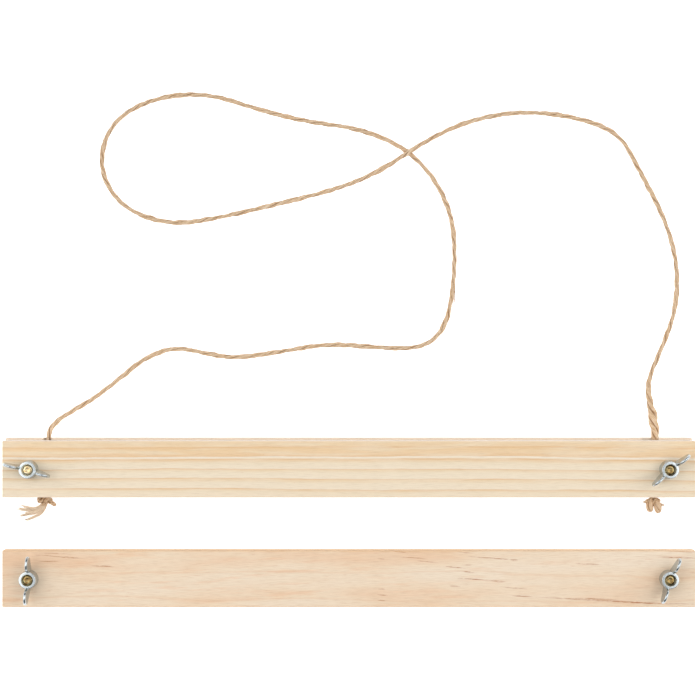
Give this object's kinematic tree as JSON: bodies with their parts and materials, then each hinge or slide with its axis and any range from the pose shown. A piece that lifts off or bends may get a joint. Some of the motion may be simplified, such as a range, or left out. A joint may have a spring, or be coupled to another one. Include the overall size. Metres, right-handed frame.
{
  "type": "hanging warp loom",
  "caption": "Hanging warp loom: two clamps of paired wooden slats squeezed by screws and wing nuts, with a knotted twine hanging loop on the upper clamp.",
  "frame": {"origin": "middle of the footprint of the two clamps, on the surface that the loom lies on", "axes": "+X along the slats, +Y from the lower clamp to the hanging loop, +Z away from the surface, the way the screws point"},
  "size_m": [0.3, 0.2256, 0.0255],
  "materials": {
    "upper_pine": "planed, unfinished",
    "lower_pine": "planed, unfinished",
    "yellow_zinc": "yellow passivated",
    "bright_zinc": "bright zinc plated",
    "jute": "loosely twisted natural twine"
  },
  "bodies": {
    "upper_clamp_back": {"upper_rear_slat": "upper_pine", "upper_left_bolt": "yellow_zinc", "upper_right_bolt": "yellow_zinc", "hanging_cord": "jute", "left_knot": "jute", "right_knot": "jute"},
    "upper_clamp_front": {"upper_front_slat": "upper_pine"},
    "upper_left_nut": {"upper_left_wing_nut": "bright_zinc"},
    "upper_right_nut": {"upper_right_wing_nut": "bright_zinc"},
    "lower_clamp_back": {"lower_rear_slat": "lower_pine", "lower_left_bolt": "yellow_zinc", "lower_right_bolt": "yellow_zinc"},
    "lower_clamp_front": {"lower_front_slat": "lower_pine"},
    "lower_left_nut": {"lower_left_wing_nut": "bright_zinc"},
    "lower_right_nut": {"lower_right_wing_nut": "bright_zinc"}
  },
  "joints": [
    {"name": "upper_slat_open", "type": "slide", "parent": "upper_clamp_back", "child": "upper_clamp_front", "axis": [0, 0, 1], "range_m": [0, 0.0021]},
    {"name": "upper_left_nut_turn", "type": "hinge", "parent": "upper_clamp_front", "child": "upper_left_nut", "pos_m": [-0.1382, 0.0237, 0.015], "axis": [0, 0, 1], "range_deg": [0, 1081]},
    {"name": "upper_right_nut_turn", "type": "hinge", "parent": "upper_clamp_front", "child": "upper_right_nut", "pos_m": [0.1382, 0.0237, 0.015], "axis": [0, 0, 1], "range_deg": [0, 1081]},
    {"name": "lower_clamp_drop", "type": "slide", "parent": "upper_clamp_back", "child": "lower_clamp_back", "axis": [0, -1, 0], "range_m": [0, 0.25]},
    {"name": "lower_slat_open", "type": "slide", "parent": "lower_clamp_back", "child": "lower_clamp_front", "axis": [0, 0, 1], "range_m": [0, 0.0021]},
    {"name": "lower_left_nut_turn", "type": "hinge", "parent": "lower_clamp_front", "child": "lower_left_nut", "pos_m": [-0.1382, -0.0237, 0.015], "axis": [0, 0, 1], "range_deg": [0, 1081]},
    {"name": "lower_right_nut_turn", "type": "hinge", "parent": "lower_clamp_front", "child": "lower_right_nut", "pos_m": [0.1382, -0.0237, 0.015], "axis": [0, 0, 1], "range_deg": [0, 1081]}
  ],
  "couplings": [
    {"joint": "upper_left_nut_turn", "follows": "upper_slat_open", "rad_per_m": 8976},
    {"joint": "upper_right_nut_turn", "follows": "upper_slat_open", "rad_per_m": 8976},
    {"joint": "lower_left_nut_turn", "follows": "lower_slat_open", "rad_per_m": 8976},
    {"joint": "lower_right_nut_turn", "follows": "lower_slat_open", "rad_per_m": 8976}
  ]
}
